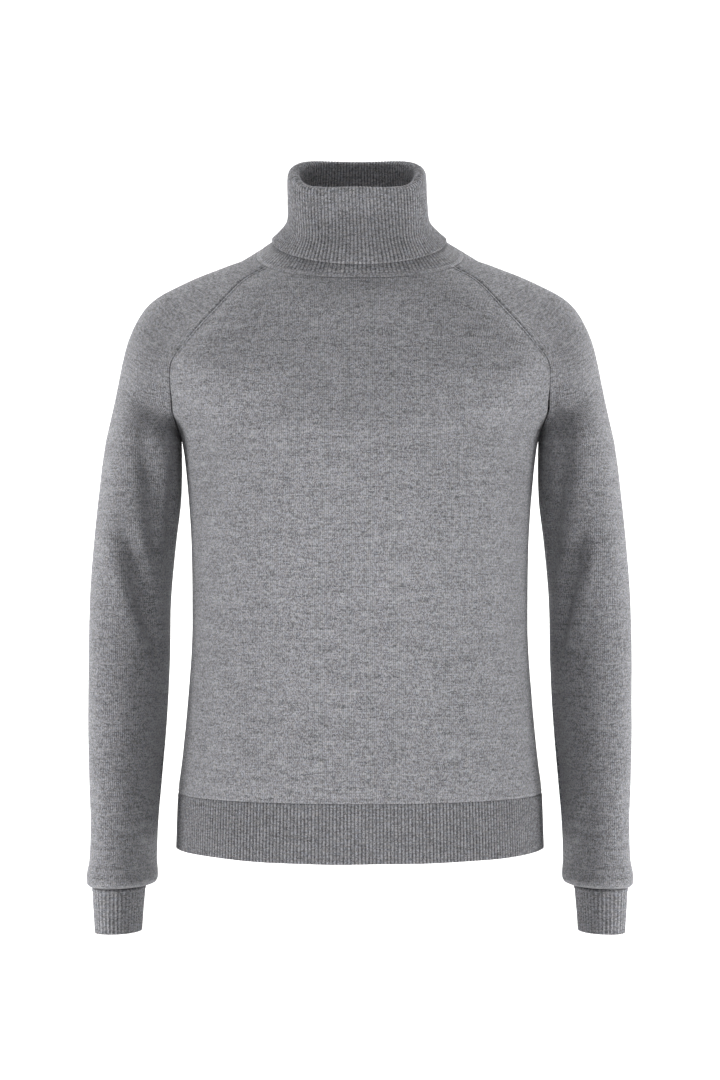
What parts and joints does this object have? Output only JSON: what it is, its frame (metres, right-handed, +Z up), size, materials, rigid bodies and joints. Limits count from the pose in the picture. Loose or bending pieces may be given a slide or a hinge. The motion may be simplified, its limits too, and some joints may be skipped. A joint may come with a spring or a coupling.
{
  "type": "turtleneck sweater",
  "caption": "Fine-knit grey marl pullover with raglan sleeves, a folded ribbed roll neck and ribbed hem and cuffs, filled out as if worn.",
  "frame": {"origin": "middle of the neck opening at the height of the shoulders, where the wearer carries the garment", "axes": "+Z up the wearer's body, -Y out of the chest, +X to the wearer's left"},
  "size_m": [0.52, 0.234, 0.734],
  "materials": {
    "jersey": "fine plain knit, grey marl",
    "rib": "1x1 rib knit, grey marl",
    "linking": "narrow plain knit band"
  },
  "bodies": {
    "root": {"front": "jersey", "back": "jersey", "sleeve_left": "jersey", "sleeve_right": "jersey", "neck_band": "linking", "collar": "rib", "hem_rib_front": "rib", "hem_rib_back": "rib", "cuff_left": "rib", "cuff_right": "rib"}
  },
  "joints": []
}
